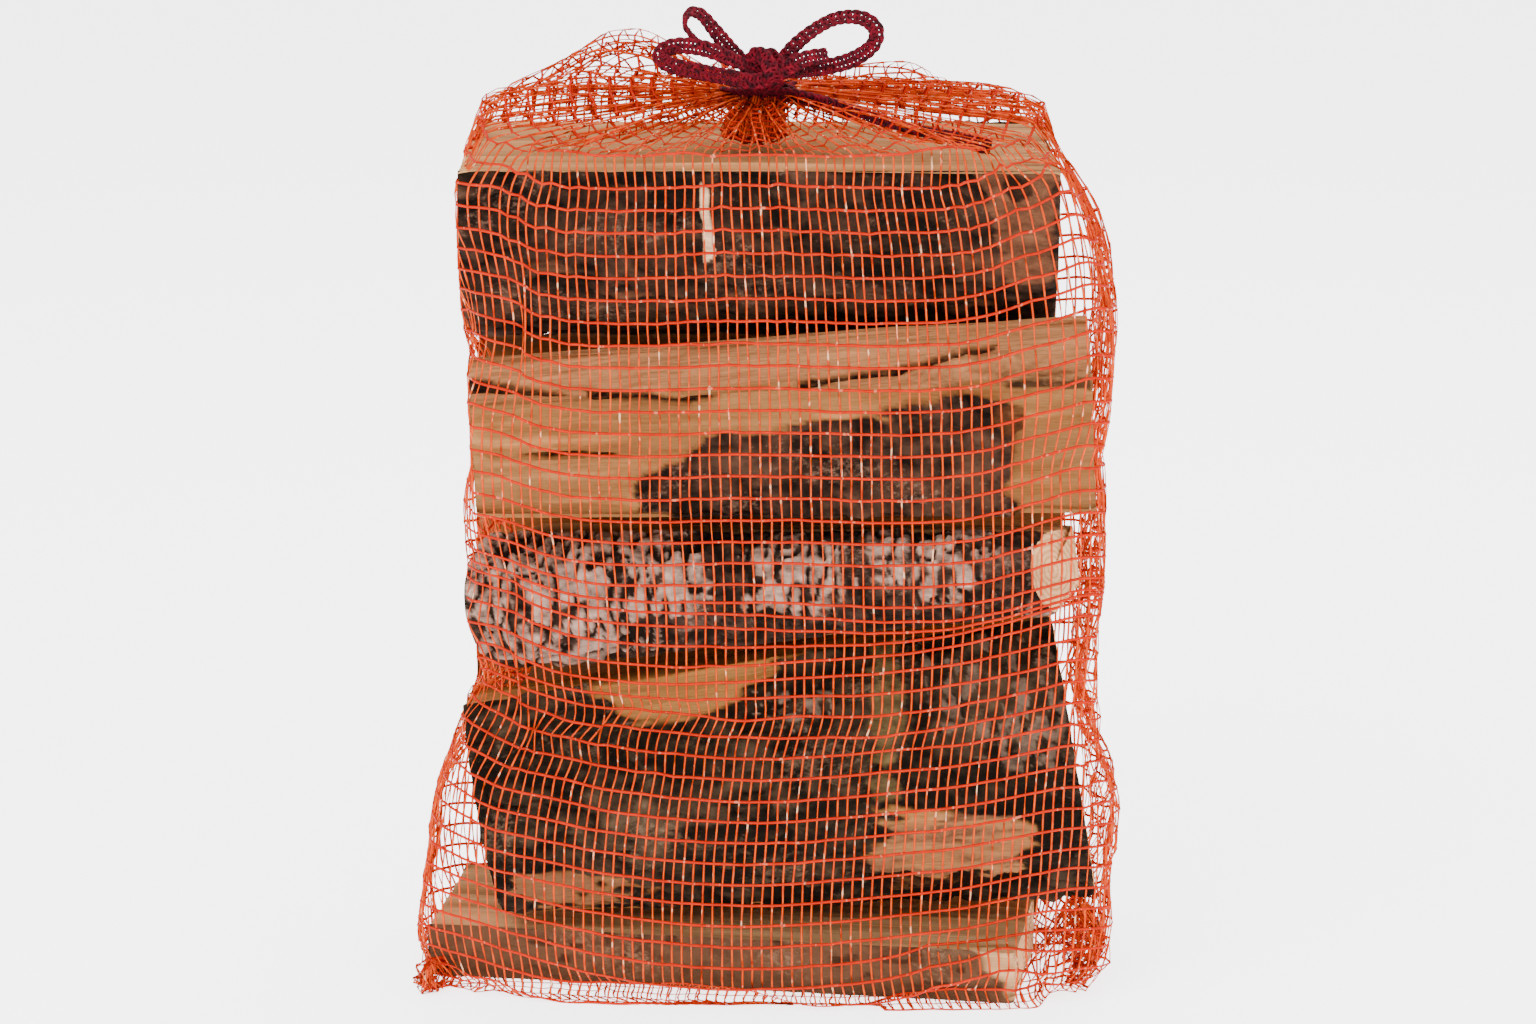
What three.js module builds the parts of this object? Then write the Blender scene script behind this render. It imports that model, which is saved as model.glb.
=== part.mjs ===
// A net bag of split firewood, its mouth drawn together and tied with a knitted band in a bow.
// Sizes are in millimetres. X runs along the logs, Y from the front of the bundle to its back, Z up.
// The origin is on the surface that the bag stands on, under the middle of the bag.

import * as THREE from "three";

const DEG = Math.PI / 180;

// Driving sizes of the bag.
const NET_WALL = 1.5; // the sleeve that stands for the net, with its knots and folds
const NET_CLEAR = 2.5; // between the logs and the net
const FLOOR_GAP = 0.4; // between the net's floor and the lowest logs
const LOG_FLOOR = NET_WALL + FLOOR_GAP;
const BAG_CENTRE = [-3, -0.2]; // the middle of the bag's outline in the stack's own X and Y

// Each log is a sawn length of trunk split along the grain. Its section is drawn across the log, first
// coordinate to the back and second one up, from a point that stays in place as the log tapers.
// A bark arc runs about the pith, and the corners that follow it belong to the split faces.
const LOGS = [
  {
    name: "log_top_half_round", // half a trunk, lying on its bark with the split face up
    colour: 0x5d4a3a,
    length: 303,
    middle: [-4, 0.5, 440.5],
    arc: { pith: [0, -12], radius: 91.5, from: 172.5, to: 367.5 },
  },
  {
    name: "log_second_front", // bare weathered faces, with bark left along its lower front
    colour: 0xb08d63,
    length: 316,
    middle: [7.5, -42, 303.5],
    tilt: 2.6,
    taper: [0.98, 1.19],
    corners: [[-41, -44], [40, -38], [31, 0], [-27, 49], [-48, 22]],
  },
  {
    name: "log_second_back",
    colour: 0x65513f,
    length: 300,
    middle: [-2, 17, 257],
    skew: -0.03,
    arc: { pith: [0, 0], radius: 79, from: 0, to: 90 },
    corners: [[-2, 2]],
  },
  {
    name: "log_third_front_birch", // the slim end of a birch, thinner towards the right
    colour: 0xb9a99a,
    length: 288,
    middle: [5.5, -53, 215.5],
    tilt: 5.2,
    yaw: 9,
    taper: [1.26, 0.78],
    lean: -0.08,
    skew: 0.33,
    arc: { pith: [0, 0], radius: 32, from: 88, to: 262 },
    corners: [[34, -22], [37, 26]],
  },
  {
    name: "log_third_back",
    colour: 0x6b5946,
    length: 312,
    middle: [2, 25, 181],
    yaw: -0.6,
    arc: { pith: [0, 0], radius: 68, from: 0, to: 90 },
    corners: [[-3, 3]],
  },
  {
    name: "log_fourth_front_large", // the thickest piece, all bark in front, thicker towards the right
    colour: 0x4b4136,
    length: 312,
    middle: [17.5, -94, 36],
    tilt: 1,
    taper: [0.76, 1],
    lean: -0.14,
    arc: { pith: [94, 84], radius: 95, from: 122, to: 238 },
    corners: [[112, 13], [109, 156]],
  },
  {
    name: "log_fourth_back",
    colour: 0x574839,
    length: 305,
    middle: [-4, 30, 112.5],
    skew: 0.04,
    arc: { pith: [0, 0], radius: 64, from: -84, to: 84 },
  },
  {
    name: "log_fifth_front_slab", // a low slab under the front, turned with its right end forward
    colour: 0x8d745a,
    length: 311,
    middle: [-25.5, -75, LOG_FLOOR],
    yaw: 9.2,
    corners: [[0, 0], [92, 0], [92, 38], [0, 31]],
  },
  {
    name: "log_fifth_back",
    colour: 0x5f4d3d,
    length: 296,
    middle: [0, 53, 46],
    yaw: -1.5,
    arc: { pith: [0, 0], radius: 46 - LOG_FLOOR - 1.5, from: -90, to: 0 },
    corners: [[0, 0]],
  },
];
const BARK_FACETS = 14; // along the longest bark arc

// Turns a section drawn in X and Y, extruded along Z, so that it is drawn in Y and Z and runs along X.
const SECTION_TO_LOG = new THREE.Matrix4().makeBasis(
  new THREE.Vector3(0, 1, 0),
  new THREE.Vector3(0, 0, 1),
  new THREE.Vector3(1, 0, 0),
);

function logSection({ arc, corners = [] }) {
  const bark = [];
  if (arc) {
    const facets = Math.ceil((BARK_FACETS * (arc.to - arc.from)) / 180);
    for (let i = 0; i <= facets; i++) {
      const angle = (arc.from + ((arc.to - arc.from) * i) / facets) * DEG;
      bark.push([arc.pith[0] + arc.radius * Math.cos(angle), arc.pith[1] + arc.radius * Math.sin(angle)]);
    }
  }
  return new THREE.Shape([...bark, ...corners].map(([y, z]) => new THREE.Vector2(y, z)));
}

// A log: its section carried along X, growing or shrinking in a straight line from its left end to its
// right one. lean and skew slant both saw cuts, by a share of the height and of the depth.
function makeLog({ name, colour, length, middle, tilt = 0, yaw = 0, taper = [1, 1], lean = 0, skew = 0, ...rest }) {
  const geometry = new THREE.ExtrudeGeometry(logSection(rest), { depth: length, bevelEnabled: false });
  geometry.applyMatrix4(SECTION_TO_LOG).translate(-length / 2, 0, 0);
  const at = geometry.attributes.position;
  for (let i = 0; i < at.count; i++) {
    const x = at.getX(i);
    const size = taper[0] + (taper[1] - taper[0]) * (x / length + 0.5);
    const y = at.getY(i) * size;
    const z = at.getZ(i) * size;
    at.setXYZ(i, x + lean * z + skew * y, y, z);
  }
  const wood = new THREE.MeshStandardMaterial({ color: colour, roughness: 0.85, metalness: 0 });
  const mesh = new THREE.Mesh(geometry, wood);
  mesh.name = name;
  mesh.position.set(middle[0] - BAG_CENTRE[0], middle[1] - BAG_CENTRE[1], middle[2]);
  mesh.rotation.set(0, -tilt * DEG, -yaw * DEG, "ZYX");
  mesh.updateMatrixWorld(true);
  return mesh;
}

// The net bag, as a thin sleeve that follows the logs from level to level, with a flat floor, a low
// roof drawn in to the neck, and the open mouth above the tie.
const BAG_DIRECTIONS = 36; // straight stretches round each level of the net
const BAG_LEVELS = 16;
const BRIDGE_SLOPE = 0.3; // how steeply the stretched net turns in to the hollows between the logs
const LOG_TOP = 440.5;
const NECK = { x: 0, y: -3, radius: 12, low: 461, high: 471 };
const MOUTH = { radius: 14, z: 477 };
const SAMPLE_STEP = 6; // between the points that stand for the logs' surfaces

// Points along every edge of the logs' triangles.
function surfacePoints(meshes) {
  const points = [];
  for (const mesh of meshes) {
    const at = mesh.geometry.attributes.position;
    const corner = (i) => new THREE.Vector3().fromBufferAttribute(at, i).applyMatrix4(mesh.matrixWorld);
    for (let i = 0; i < at.count; i += 3) {
      for (let k = 0; k < 3; k++) {
        const a = corner(i + k);
        const b = corner(i + ((k + 1) % 3));
        const steps = Math.ceil(a.distanceTo(b) / SAMPLE_STEP);
        for (let s = 0; s < steps; s++) points.push(a.clone().lerp(b, s / steps));
      }
    }
  }
  return points;
}

// The outline of straight stretches round the points within `span` of a height, kept `away` from them.
// Points further up or down count less, by BRIDGE_SLOPE. Each corner is where two tangent lines meet.
function tangentRing(points, height, span, away) {
  const turn = (2 * Math.PI) / BAG_DIRECTIONS;
  const reach = Array.from({ length: BAG_DIRECTIONS }, (_, k) => {
    const [x, y] = [Math.cos(k * turn), Math.sin(k * turn)];
    const far = (p) => BRIDGE_SLOPE * Math.max(Math.abs(p.z - height) - span, 0);
    return away + points.reduce((most, p) => Math.max(most, p.x * x + p.y * y - far(p)), -Infinity);
  });
  return reach.map((h, k) => {
    const next = reach[(k + 1) % BAG_DIRECTIONS];
    const [a, b] = [k * turn, (k + 1) * turn];
    return [
      (h * Math.sin(b) - next * Math.sin(a)) / Math.sin(turn),
      (next * Math.cos(a) - h * Math.cos(b)) / Math.sin(turn),
    ];
  });
}

function neckRing(radius) {
  return Array.from({ length: BAG_DIRECTIONS }, (_, k) => {
    const angle = ((k + 0.5) * 2 * Math.PI) / BAG_DIRECTIONS;
    return [NECK.x + radius * Math.cos(angle), NECK.y + radius * Math.sin(angle)];
  });
}

// One side of the net, from the floor up to the mouth, as rings of [x, y, z]. `inset` is how far it
// lies inside the net's outer face.
function bagRings(points, inset) {
  const away = NET_CLEAR + NET_WALL - inset;
  const step = LOG_TOP / BAG_LEVELS;
  const rings = [];
  for (let i = 0; i <= BAG_LEVELS; i++) {
    const z = i === 0 ? inset : i === BAG_LEVELS ? LOG_TOP + away : i * step;
    rings.push(tangentRing(points, i * step, step, away).map(([x, y]) => [x, y, z]));
  }
  const roof = rings[rings.length - 1];
  const neck = neckRing(NECK.radius - inset);
  const halfWay = roof.map(([x, y, z], k) => [(x + neck[k][0]) / 2, (y + neck[k][1]) / 2, (2 * z + NECK.low) / 3]);
  rings.push(halfWay);
  for (const z of [NECK.low, NECK.high]) rings.push(neck.map(([x, y]) => [x, y, z]));
  rings.push(neckRing(MOUTH.radius - inset).map(([x, y]) => [x, y, MOUTH.z]));
  return rings;
}

function makeBag(points) {
  const outside = bagRings(points, 0);
  const inside = bagRings(points, NET_WALL).reverse();
  const rings = [...outside, ...inside];
  const at = [[0, 0, 0], ...rings.flat(), [0, 0, NET_WALL]];
  const index = [];
  const corner = (ring, k) => 1 + ring * BAG_DIRECTIONS + (k % BAG_DIRECTIONS);
  for (let k = 0; k < BAG_DIRECTIONS; k++) {
    index.push(0, corner(0, k + 1), corner(0, k));
    for (let r = 0; r + 1 < rings.length; r++) {
      index.push(corner(r, k), corner(r, k + 1), corner(r + 1, k + 1));
      index.push(corner(r, k), corner(r + 1, k + 1), corner(r + 1, k));
    }
    index.push(at.length - 1, corner(rings.length - 1, k), corner(rings.length - 1, k + 1));
  }
  const geometry = new THREE.BufferGeometry();
  geometry.setAttribute("position", new THREE.Float32BufferAttribute(at.flat(), 3));
  geometry.setIndex(index);
  geometry.computeVertexNormals();
  const net = new THREE.MeshStandardMaterial({ color: 0xe2502a, roughness: 0.45, metalness: 0 });
  const mesh = new THREE.Mesh(geometry, net);
  mesh.name = "net_bag";
  return mesh;
}

// The tie: a limp knitted band, here as a round cord of the same bulk. It starts at its tail on the
// roof, goes once round the neck, and makes a bow of four loops, two on each side.
const BAND_DIAMETER = 4.4;
const BAND_SIDES = 8;
const BAND_STEPS = 80;
const BAND_ROUTE = [
  [66, -45, 463], [46, -43, 466], [26, -38, 470], [8, -30, 471], [-9, -22.5, 467.5], [-17.5, -9, 467],
  [-15.5, 6, 467], [-4, 14.5, 467], [9, 12.5, 467], [17, 1, 467], [15.5, -14, 470.5], [7, -22, 478],
  [-7, -23.5, 484.5], [-20, -22, 493], [-30, -20, 503], [-38, -19.5, 508.5], [-43, -22, 503],
  [-37, -26.5, 494], [-22, -29.5, 486], [-4, -30, 482], [11, -28, 484], [24, -25, 494], [40, -22, 502],
  [55, -21, 502.5], [62, -22, 495], [57, -25.5, 487], [42, -30, 479.5], [22, -34, 477.5],
  [3, -36, 479], [-14, -36, 485], [-31, -34.5, 493], [-46, -34, 493], [-53, -36, 485],
  [-45, -39.5, 477.5], [-27, -41, 475], [-8, -41.5, 477], [8, -41, 483], [22, -38.5, 488.5],
  [36, -37.5, 488.5], [41, -40, 482], [32, -43, 477], [14, -45, 474],
];

function makeBand() {
  const section = new THREE.Shape(
    Array.from({ length: BAND_SIDES }, (_, k) => {
      const angle = (k * 2 * Math.PI) / BAND_SIDES;
      return new THREE.Vector2(Math.cos(angle), Math.sin(angle)).multiplyScalar(BAND_DIAMETER / 2);
    }),
  );
  const route = new THREE.CatmullRomCurve3(BAND_ROUTE.map((p) => new THREE.Vector3(...p)));
  const geometry = new THREE.ExtrudeGeometry(section, { steps: BAND_STEPS, extrudePath: route });
  const yarn = new THREE.MeshStandardMaterial({ color: 0x5a0c1c, roughness: 0.9, metalness: 0 });
  const mesh = new THREE.Mesh(geometry, yarn);
  mesh.name = "tie_band";
  return mesh;
}

const logs = LOGS.map(makeLog);
const bundle = new THREE.Group();
bundle.add(...logs, makeBag(surfacePoints(logs)), makeBand());

export default bundle;
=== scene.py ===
import bpy
import numpy as np
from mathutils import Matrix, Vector


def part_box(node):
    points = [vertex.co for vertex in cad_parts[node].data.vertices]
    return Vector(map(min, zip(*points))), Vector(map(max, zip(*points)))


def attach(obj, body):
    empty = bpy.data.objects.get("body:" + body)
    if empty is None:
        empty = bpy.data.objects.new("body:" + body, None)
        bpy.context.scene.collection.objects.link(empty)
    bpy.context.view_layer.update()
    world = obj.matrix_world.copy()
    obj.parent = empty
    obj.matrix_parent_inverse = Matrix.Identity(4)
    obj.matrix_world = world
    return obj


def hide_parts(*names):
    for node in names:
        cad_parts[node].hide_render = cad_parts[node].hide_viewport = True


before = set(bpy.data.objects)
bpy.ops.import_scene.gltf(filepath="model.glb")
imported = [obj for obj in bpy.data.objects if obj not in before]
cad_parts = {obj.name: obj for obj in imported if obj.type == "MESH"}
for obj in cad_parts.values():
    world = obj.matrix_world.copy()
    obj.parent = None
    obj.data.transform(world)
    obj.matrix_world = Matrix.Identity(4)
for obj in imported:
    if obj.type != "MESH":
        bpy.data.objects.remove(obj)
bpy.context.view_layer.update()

# Camera: a long lens a little above the bundle, square to its front.
elevation = np.radians(12.5)
distance = 2.6
aim = Vector((0.0035, 0.0, 0.243))
camera_data = bpy.data.cameras.new("camera")
camera_data.lens = 115.5
camera_data.sensor_width = 36.0
camera = bpy.data.objects.new("camera", camera_data)
camera.location = aim + distance * Vector((0.0, -np.cos(elevation), np.sin(elevation)))
camera.rotation_euler = (np.pi / 2 - elevation, 0.0, 0.0)
bpy.context.scene.collection.objects.link(camera)
bpy.context.scene.camera = camera

# Tie band: a limp openwork tape crocheted from dark crimson yarn, drawn twice round the bag's neck and
# tied in a bow of four loops. Three chains run along it, with yarn zigzagging between them.

BAND_WIDTH = 0.0085
YARN = 0.00088
STITCH = 0.0042
PLY_SWAY = 0.0006
PLY_LIFT = 0.0005


def cubic(a, b, c, d, t):
    """The Catmull-Rom cubic from b to c at t: four points weighted by cubics of t, so that the curve leaves b
    along a-c and reaches c along b-d."""
    return 0.5 * (2 * b + (c - a) * t + (2 * a - 5 * b + 4 * c - d) * t**2 + (3 * b - a - 3 * c + d) * t**3)


def smooth_curve(points, count):
    """Points spaced evenly along the cubics through every control point, and the curve's length."""
    p = np.vstack([2 * points[0] - points[1], points, 2 * points[-1] - points[-2]])
    t = np.linspace(0, len(points) - 1, 40 * len(points), endpoint=False)
    k = t.astype(int)
    line = cubic(p[k], p[k + 1], p[k + 2], p[k + 3], (t - k)[:, None])
    along = np.r_[0, np.cumsum(np.linalg.norm(np.diff(line, axis=0), axis=1))]
    even = np.linspace(0, along[-1], count)
    return np.stack([np.interp(even, along, line[:, i]) for i in range(3)], axis=1), along[-1]


def unit(v):
    """Each row of v divided by its length."""
    return v / np.maximum(np.linalg.norm(v, axis=-1, keepdims=True), 1e-12)


def tube(line, radius, sides):
    """Corners and faces of a closed tube: p(i, a) = line(i) + r (cos a n(i) + sin a b(i)), n and b square to
    the line, and a point closing each end."""
    tangent = unit(np.gradient(line, axis=0))
    n = unit(np.cross(tangent, [0.31, 0.87, 0.38]))
    b = np.cross(tangent, n)
    a = np.arange(sides) * 2 * np.pi / sides
    ring = line[:, None] + radius * (np.cos(a)[:, None] * n[:, None] + np.sin(a)[:, None] * b[:, None])
    corner = np.arange(len(line))[:, None] * sides + np.arange(sides)
    after = np.roll(corner, -1, axis=1)
    walls = np.stack([corner[:-1], after[:-1], after[1:], corner[1:]], axis=-1).reshape(-1, 4)
    first, last = len(line) * sides, len(line) * sides + 1
    start = np.stack([after[0], corner[0], np.full(sides, first)], axis=-1)
    end = np.stack([corner[-1], after[-1], np.full(sides, last)], axis=-1)
    return np.vstack([ring.reshape(-1, 3), line[:1], line[-1:]]), [walls, np.vstack([start, end])]


def make_mesh(name, parts, material):
    """One smooth-shaded object from a list of (corners, [quads, triangles]), each with its own numbering."""
    corners, loops, sizes, first = [], [], [], 0
    for points, faces in parts:
        corners.append(points)
        for face in faces:
            loops.append((np.asarray(face) + first).ravel())
            sizes.append(np.full(len(face), np.shape(face)[1]))
        first += len(points)
    corners, loops, sizes = np.vstack(corners), np.concatenate(loops), np.concatenate(sizes)
    mesh = bpy.data.meshes.new(name)
    mesh.vertices.add(len(corners))
    mesh.vertices.foreach_set("co", corners.astype(np.float32).ravel())
    mesh.loops.add(len(loops))
    mesh.loops.foreach_set("vertex_index", loops.astype(np.int32))
    mesh.polygons.add(len(sizes))
    mesh.polygons.foreach_set("loop_start", np.r_[0, np.cumsum(sizes)[:-1]].astype(np.int32))
    mesh.polygons.foreach_set("use_smooth", np.ones(len(sizes), bool))
    mesh.update(calc_edges=True)
    mesh.validate()
    mesh.materials.append(material)
    piece = bpy.data.objects.new(name, mesh)
    bpy.context.scene.collection.objects.link(piece)
    return piece


def node_putter(tree):
    """Gives put(kind, sockets, settings), which adds a node and sets or links its sockets by name."""

    def put(kind, sockets=None, **settings):
        node = tree.nodes.new("ShaderNode" + kind)
        for name, value in settings.items():
            setattr(node, name, value)
        for name, value in (sockets or {}).items():
            if isinstance(value, bpy.types.NodeSocket):
                tree.links.new(value, node.inputs[name])
            else:
                node.inputs[name].default_value = value
        return node

    return put


def new_material(name):
    """A new material's putter, and a function that links a shader to its surface and gives the material."""
    material = bpy.data.materials.new(name)
    material.use_nodes = True
    material.node_tree.nodes.clear()
    put = node_putter(material.node_tree)

    def finish(shader):
        put("OutputMaterial", {"Surface": shader.outputs[0]})
        return material

    return put, finish


def ramp(put, value, low, high):
    """A colour that goes from low's to high's, each given as (value, colour)."""
    node = put("ValToRGB", {"Fac": value})
    for element, (position, colour) in zip(node.color_ramp.elements, (low, high)):
        element.position = position
        element.color = (*colour, 1)
    return node.outputs["Color"]


put, finish = new_material("crimson yarn")
where = put("TexCoord").outputs["Object"]
heather = put("TexNoise", {"Vector": where, "Scale": 420.0, "Detail": 3.0}).outputs["Fac"]
heathered = ramp(put, heather, (0.36, (0.018, 0.001, 0.003)), (0.72, (0.14, 0.0015, 0.009)))
lint = put("TexNoise", {"Vector": where, "Scale": 2600.0, "Detail": 2.0}).outputs["Fac"]
fuzz = put("Bump", {"Height": lint, "Strength": 0.6, "Distance": 0.0004}).outputs["Normal"]
yarn_finish = {"Base Color": heathered, "Normal": fuzz, "Roughness": 0.75, "Specular IOR Level": 0.1}
crimson = finish(put("BsdfPrincipled", yarn_finish))

band_route = np.array(
    [
        [116, -62, 446], [98, -58, 450], [80, -53, 453], [62, -47, 457], [44, -41, 461], [27, -34, 466],
        [9, -27, 469], [-9, -21.5, 467.5], [-17.5, -9, 467], [-15.5, 6, 467], [-4, 14.5, 467], [9, 12.5, 467],
        [17, 1, 467], [15.5, -13, 469], [8, -22, 473], [-4, -26, 480], [-15, -26, 490], [-24, -25, 501],
        [-31, -25, 509], [-37, -26.5, 509.5], [-38.5, -29, 503], [-31, -31, 495], [-18, -32, 487.5],
        [-4, -33, 484], [4, -36.5, 489.5], [8, -42, 486], [6, -43.5, 478.5], [0, -39, 473.5], [-5, -34, 476],
        [-6, -33, 483], [-2, -37, 490], [3, -43.5, 487.5], [6, -45.5, 480.5], [8, -40, 474.5], [9, -32, 480],
        [14, -30, 490], [25, -28, 500], [38, -27, 507], [51, -27, 507.5], [58.5, -28.5, 502], [57, -31, 494],
        [47, -33, 487], [33, -34, 483], [17, -35, 480.5], [0, -36, 481], [-14, -37, 487], [-29, -38, 493],
        [-43, -38.5, 494.5], [-51, -40, 491], [-47, -41.5, 485.5], [-32, -42, 482], [-16, -42.5, 479],
        [-2, -43.5, 477], [10, -42.5, 482], [22, -41, 488], [34, -40, 490],
    ]
) / 1000
band_line, band_length = smooth_curve(band_route, 1000)
band_along = np.linspace(0, band_length, len(band_line))
band_tangent = unit(np.gradient(band_line, axis=0))
# The band's flat side turns slowly as it goes, so that the loops show now their face and now their edge.
lean = 0.9 * np.sin(band_along / 0.043 + 0.6) + 0.5 * np.sin(band_along / 0.021)
band_side = unit(np.cross(band_tangent, [0.15, 1.0, 0.25]))
band_across = np.cos(lean)[:, None] * band_side + np.sin(lean)[:, None] * np.cross(band_tangent, band_side)
band_normal = np.cross(band_tangent, band_across)
phase = 2 * np.pi * band_along / STITCH
half = BAND_WIDTH / 2 - YARN - PLY_SWAY / 2


def yarn(sway, raised):
    """The band's middle line moved by sway across the band and by raised off its face."""
    return band_line + sway[:, None] * band_across + raised[:, None] * band_normal


yarns = []
for row in (-1, 0, 1):
    for ply in (0, np.pi):
        sway = half * row + PLY_SWAY * np.cos(phase / 2 + ply)
        yarns.append(yarn(sway, PLY_LIFT * np.sin(phase / 2 + ply)))
for row in (-1, 1):
    for ply in (0, np.pi):
        zigzag = row * half * (0.5 + 0.55 * np.clip(1.5 * np.sin(phase + ply), -1, 1))
        yarns.append(yarn(zigzag, PLY_LIFT * np.cos(phase + ply)))
tie_band = make_mesh("tie_band_crochet", [tube(line, YARN, 5) for line in yarns], crimson)
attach(tie_band, "root")
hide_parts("tie_band")

# Top log: half of a thick trunk with rough dark bark, split with an axe and sawn off at both ends. It lies on
# its bark with the fresh split face up.

EDGE_RADIUS = 0.0016
ROUND_SIDE = 0.026
FRONT_SPACING = 0.0016
BUMP_DEPTH = 0.0016
DEEPEST = 0.004


def noise(p, seed):
    """Smooth noise from -1 to 1: random values on the corners of a unit lattice, blended by 3t^2 - 2t^3."""
    cell = np.floor(p).astype(np.int64)
    t = p - cell
    t = t * t * (3 - 2 * t)
    total = np.zeros(p.shape[:-1])
    for corner in np.ndindex(2, 2, 2):
        c = cell + corner
        h = (c[..., 0] * 73856093) ^ (c[..., 1] * 19349663) ^ (c[..., 2] * 83492791) ^ (seed * 7919 + 101)
        h = ((h ^ (h >> 13)) * 1274126177) & 0xFFFFFFFF
        h = ((h ^ (h >> 15)) * 668265263) & 0xFFFFFFFF
        weight = np.prod(np.where(corner, t, 1 - t), axis=-1)
        total += weight * (((h >> 8) & 0xFFFF) / 32767.5 - 1)
    return total


def fractal(p, seed, octaves=4):
    """Noise at doubling fineness and halving size: the sum of noise(2^k p) / 2^k."""
    return sum(noise(p * 2.0**k + 17.3 * k, seed + k) / 2**k for k in range(octaves))


def smoothstep(low, high, x):
    """0 below low, 1 above high, and 3t^2 - 2t^3 between."""
    t = np.clip((x - low) / (high - low), 0, 1)
    return t * t * (3 - 2 * t)


def sawn_ends(node):
    """The CAD log's two ends as rings of corners that answer each other. Corners are sorted by their angle
    about their end's middle, and the right ring is turned until the two rings are most alike."""
    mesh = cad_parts[node].data
    co = np.empty(len(mesh.vertices) * 3)
    mesh.vertices.foreach_get("co", co)
    co = np.unique(np.round(co.reshape(-1, 3), 5), axis=0)
    rings = []
    for end in (co[co[:, 0] < co[:, 0].mean()], co[co[:, 0] >= co[:, 0].mean()]):
        y, z = (end - end.mean(0))[:, 1:].T
        rings.append(end[np.argsort(np.arctan2(z, y))])
    shapes = [(r - r.mean(0))[:, 1:] / np.ptp(r[:, 1]) for r in rings]
    turn = min(range(len(rings[1])), key=lambda k: np.square(np.roll(shapes[1], k, axis=0) - shapes[0]).sum())
    return rings[0], np.roll(rings[1], turn, axis=0)


def log_surface(node, pith, spacing):
    """The log's skin before its relief, over (along, around): p(u, v) = (1 - u) left(v) + u right(v), its
    edges rounded by a moving average. pith is where the rings' centre lies in each end's box, from its low
    corner to its high one. Bark is on the short sides of the CAD outline, which stand for round ones."""
    left, right = sawn_ends(node)
    closed = [np.vstack([r, r[:1]]) for r in (left, right)]
    sizes = np.linalg.norm(np.diff((closed[0] + closed[1])[:, 1:] / 2, axis=0), axis=1)
    around = np.r_[0, np.cumsum(sizes)]
    count = int(around[-1] / spacing)
    v = np.arange(count) * around[-1] / count
    reach = np.arange(-12, 13)
    kernel = np.exp(-0.5 * (reach * around[-1] / count / EDGE_RADIUS) ** 2)
    kernel /= kernel.sum()
    rings = []
    for ring in closed:
        line = np.stack([np.interp(v, around, ring[:, i]) for i in range(3)], axis=1)
        rings.append(sum(w * np.roll(line, k, axis=0) for k, w in zip(reach, kernel)))
    steps = int(abs(rings[1][:, 0].mean() - rings[0][:, 0].mean()) / spacing)
    u = np.linspace(0, 1, steps)[:, None, None]
    skin = (1 - u) * rings[0] + u * rings[1]
    barky = (sizes < ROUND_SIDE)[np.searchsorted(around, v, side="right") - 1].astype(float)
    barky = sum(w * np.roll(barky, k) for k, w in zip(reach, kernel))
    centres = [ring.min(0) + (ring.max(0) - ring.min(0)) * [0.5, *pith] for ring in (left, right)]
    centres = (1 - u) * centres[0] + u * centres[1]
    out = np.cross(np.roll(skin, -1, axis=1) - np.roll(skin, 1, axis=1), [1.0, 0, 0])
    return skin, unit(out), np.broadcast_to(barky, skin.shape[:2]), centres


def rough_bark(grain, seed, plate=0.02, depth=0.0022):
    """How far the bark lies below its highest plates: shallow furrows where a warped noise changes sign, as
    depth * step(1 - |noise|), soft knobs between them and a slow swell under all."""
    p = grain / [1.9 * plate, plate, plate]
    p = p + 0.7 * fractal(p * 0.9, seed + 40, 3)[..., None] * [1.0, 0.8, 0.8]
    furrow = smoothstep(0.62, 1.0, 1 - np.abs(noise(p, seed)) * 1.5)
    finer = smoothstep(0.7, 1.0, 1 - np.abs(noise(p * 2.7 + 5, seed + 3)) * 1.5)
    knobs = fractal(grain / [0.0085, 0.007, 0.007], seed + 7, 4)
    swell = fractal(grain / [0.06, 0.035, 0.035], seed + 11, 2)
    return depth * (0.6 * furrow + 0.3 * finer + 0.55 * (1 - knobs) + 0.7 * (1 - swell))


def split_grain(grain, seed, depth=0.0011):
    """How far a split face lies below its highest fibres: noise drawn out along the log, in long waves and
    in fine ridges."""
    wave = fractal(grain / [0.16, 0.022, 0.022], seed, 2)
    ridge = fractal(grain / [0.11, 0.0042, 0.0042], seed + 5, 3)
    step = smoothstep(-0.1, 0.1, noise(grain / [0.3, 0.014, 0.014], seed + 9))
    return depth * (1.1 * (1 - wave) + 0.6 * (1 - ridge) + 0.6 * step)


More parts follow.
